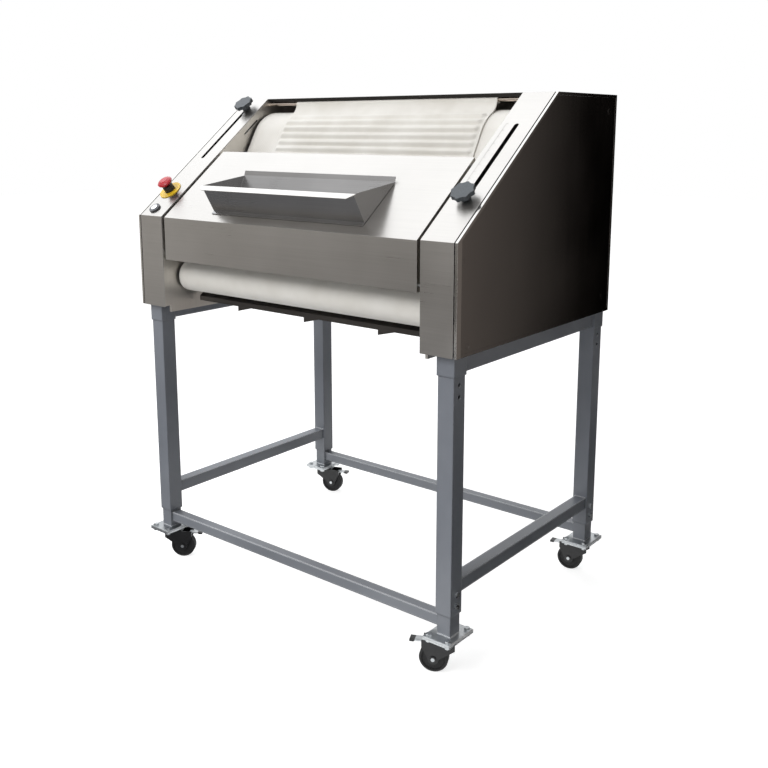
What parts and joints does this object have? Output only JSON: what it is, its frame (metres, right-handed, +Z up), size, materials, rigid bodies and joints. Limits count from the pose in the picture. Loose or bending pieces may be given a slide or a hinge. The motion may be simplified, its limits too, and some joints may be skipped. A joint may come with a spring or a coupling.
{
  "type": "baguette moulder",
  "caption": "Floor-standing baguette moulder with sloping stainless housings, dough hopper, felt belt, ribbed curling cloth and a castered tube stand.",
  "frame": {"origin": "on the floor under the middle of the bounding box", "axes": "+X to the right seen from the front, +Y to the back, +Z up"},
  "size_m": [1, 0.7266, 1.254],
  "materials": {
    "stand_paint": "satin paint",
    "wheel_black": "matt",
    "fork_black": "gloss paint",
    "zinc_steel": "zinc plated",
    "stainless": "brushed",
    "dark_stainless": "brushed, dark reflection",
    "steel": "turned",
    "felt": "woven felt",
    "white_plastic": "satin",
    "knob_grey": "moulded",
    "yellow": "moulded",
    "black_plastic": "moulded",
    "red": "moulded",
    "chrome": "polished",
    "board_steel": "mill",
    "cast": "painted"
  },
  "bodies": {
    "machine": {"left_leg_frame": "stand_paint", "right_leg_frame": "stand_paint", "front_base_rail": "stand_paint", "rear_base_rail": "stand_paint", "stand_bolts": "zinc_steel", "caster_plates": "zinc_steel", "caster_bolts": "zinc_steel", "body_base": "stand_paint", "left_plate": "stainless", "right_plate": "stainless", "left_housing": "stainless", "right_housing": "stainless", "left_panel": "dark_stainless", "right_panel": "dark_stainless", "panel_screws": "zinc_steel", "front_cover": "stainless", "cover_pegs": "zinc_steel", "rear_cover": "stainless", "tie_bars": "zinc_steel", "hopper": "stainless", "main_belt": "felt", "curl_cloth": "felt", "cloth_rod": "zinc_steel", "bearings": "cast", "stop_collar": "yellow", "stop_body": "black_plastic", "start_bezel": "chrome", "gear_motor": "cast", "chains": "cast"},
    "fork_fl": {"fork_fl": "fork_black"},
    "wheel_fl": {"wheel_fl": "wheel_black"},
    "pedal_fl": {"pedal_fl": "zinc_steel"},
    "fork_fr": {"fork_fr": "fork_black"},
    "wheel_fr": {"wheel_fr": "wheel_black"},
    "pedal_fr": {"pedal_fr": "zinc_steel"},
    "fork_rl": {"fork_rl": "fork_black"},
    "wheel_rl": {"wheel_rl": "wheel_black"},
    "pedal_rl": {"pedal_rl": "zinc_steel"},
    "fork_rr": {"fork_rr": "fork_black"},
    "wheel_rr": {"wheel_rr": "wheel_black"},
    "pedal_rr": {"pedal_rr": "zinc_steel"},
    "top_drum": {"top_drum": "steel", "drum_sprockets": "steel"},
    "front_roller": {"front_roller": "steel"},
    "bend_roller": {"bend_roller": "steel"},
    "feed_roller": {"feed_roller": "white_plastic", "feed_sprocket": "steel", "feed_gear": "steel"},
    "moving_roller": {"moving_roller": "white_plastic", "moving_gear": "steel"},
    "carriage": {"roller_carriage": "steel"},
    "pressure_board": {"pressure_board": "board_steel"},
    "motor_sprocket": {"motor_sprocket": "steel"},
    "left_slider": {"left_slider": "steel"},
    "right_slider": {"right_slider": "steel"},
    "left_knob": {"left_knob": "knob_grey"},
    "right_knob": {"right_knob": "knob_grey"},
    "stop_head": {"stop_head": "red"},
    "start_button": {"start_button": "chrome"}
  },
  "joints": [
    {"name": "swivel_fl", "type": "hinge", "parent": "machine", "child": "fork_fl", "pos_m": [-0.464, -0.30566, 0.087], "axis": [0, 0, 1], "continuous": true},
    {"name": "wheel_fl_spin", "type": "hinge", "parent": "fork_fl", "child": "wheel_fl", "pos_m": [-0.43943, -0.28845, 0.0325], "axis": [-0.5736, 0.8192, 0], "continuous": true},
    {"name": "pedal_fl_press", "type": "hinge", "parent": "fork_fl", "child": "pedal_fl", "pos_m": [-0.42304, -0.27698, 0.066], "axis": [-0.5736, 0.8192, 0], "range_deg": [0, 15]},
    {"name": "swivel_fr", "type": "hinge", "parent": "machine", "child": "fork_fr", "pos_m": [0.464, -0.30566, 0.087], "axis": [0, 0, 1], "continuous": true},
    {"name": "wheel_fr_spin", "type": "hinge", "parent": "fork_fr", "child": "wheel_fr", "pos_m": [0.43681, -0.31834, 0.0325], "axis": [0.4226, -0.9063, 0], "continuous": true},
    {"name": "pedal_fr_press", "type": "hinge", "parent": "fork_fr", "child": "pedal_fr", "pos_m": [0.41868, -0.32679, 0.066], "axis": [0.4226, -0.9063, 0], "range_deg": [0, 15]},
    {"name": "swivel_rl", "type": "hinge", "parent": "machine", "child": "fork_rl", "pos_m": [-0.464, 0.31734, 0.087], "axis": [0, 0, 1], "continuous": true},
    {"name": "wheel_rl_spin", "type": "hinge", "parent": "fork_rl", "child": "wheel_rl", "pos_m": [-0.43581, 0.3276, 0.0325], "axis": [-0.342, 0.9397, 0], "continuous": true},
    {"name": "pedal_rl_press", "type": "hinge", "parent": "fork_rl", "child": "pedal_rl", "pos_m": [-0.41702, 0.33444, 0.066], "axis": [-0.342, 0.9397, 0], "range_deg": [0, 15]},
    {"name": "swivel_rr", "type": "hinge", "parent": "machine", "child": "fork_rr", "pos_m": [0.464, 0.31734, 0.087], "axis": [0, 0, 1], "continuous": true},
    {"name": "wheel_rr_spin", "type": "hinge", "parent": "fork_rr", "child": "wheel_rr", "pos_m": [0.43446, 0.31213, 0.0325], "axis": [0.1736, -0.9848, 0], "continuous": true},
    {"name": "pedal_rr_press", "type": "hinge", "parent": "fork_rr", "child": "pedal_rr", "pos_m": [0.41476, 0.30866, 0.066], "axis": [0.1736, -0.9848, 0], "range_deg": [0, 15]},
    {"name": "drum_spin", "type": "hinge", "parent": "machine", "child": "top_drum", "pos_m": [0, 0.07034, 1.108], "axis": [1, 0, 0], "continuous": true},
    {"name": "front_roller_spin", "type": "hinge", "parent": "machine", "child": "front_roller", "pos_m": [0, -0.25966, 0.788], "axis": [1, 0, 0], "continuous": true},
    {"name": "bend_roller_spin", "type": "hinge", "parent": "machine", "child": "bend_roller", "pos_m": [0, -0.13766, 0.995], "axis": [1, 0, 0], "continuous": true},
    {"name": "feed_roller_spin", "type": "hinge", "parent": "machine", "child": "feed_roller", "pos_m": [0, -0.29266, 0.939], "axis": [1, 0, 0], "continuous": true},
    {"name": "motor_spin", "type": "hinge", "parent": "machine", "child": "motor_sprocket", "pos_m": [0, 0.20234, 0.845], "axis": [1, 0, 0], "continuous": true},
    {"name": "carriage_slide", "type": "slide", "parent": "machine", "child": "carriage", "axis": [0, 1, 0], "range_m": [0, 0.008]},
    {"name": "moving_roller_spin", "type": "hinge", "parent": "carriage", "child": "moving_roller", "pos_m": [0, -0.24116, 0.939], "axis": [1, 0, 0], "continuous": true},
    {"name": "board_slide", "type": "slide", "parent": "machine", "child": "pressure_board", "axis": [0, 0.5956, -0.8033], "range_m": [0, 0.014]},
    {"name": "left_slide", "type": "slide", "parent": "machine", "child": "left_slider", "axis": [0, 0.7896, 0.6137], "range_m": [-0.202, 0]},
    {"name": "right_slide", "type": "slide", "parent": "machine", "child": "right_slider", "axis": [0, 0.7896, 0.6137], "range_m": [0, 0.236]},
    {"name": "left_knob_turn", "type": "hinge", "parent": "left_slider", "child": "left_knob", "pos_m": [-0.457, 0.00791, 1.21846], "axis": [0, -0.6137, 0.7896], "range_deg": [-180, 180]},
    {"name": "right_knob_turn", "type": "hinge", "parent": "right_slider", "child": "right_knob", "pos_m": [0.45, -0.2416, 1.02455], "axis": [0, -0.6137, 0.7896], "range_deg": [-180, 180]},
    {"name": "stop_push", "type": "slide", "parent": "machine", "child": "stop_head", "axis": [0, 0.6137, -0.7896], "range_m": [0, 0.005], "stiffness_N_per_m": 600},
    {"name": "start_push", "type": "slide", "parent": "machine", "child": "start_button", "axis": [0, 0.6137, -0.7896], "range_m": [0, 0.003], "stiffness_N_per_m": 400}
  ],
  "couplings": [
    {"joint": "front_roller_spin", "follows": "drum_spin", "ratio": 2.5714},
    {"joint": "bend_roller_spin", "follows": "drum_spin", "ratio": -3.8077},
    {"joint": "feed_roller_spin", "follows": "drum_spin", "ratio": 2.5},
    {"joint": "moving_roller_spin", "follows": "drum_spin", "ratio": -2.5},
    {"joint": "motor_spin", "follows": "drum_spin", "ratio": 2},
    {"joint": "carriage_slide", "follows": "left_slide", "ratio": -0.039604},
    {"joint": "board_slide", "follows": "right_slide", "ratio": 0.059322}
  ]
}
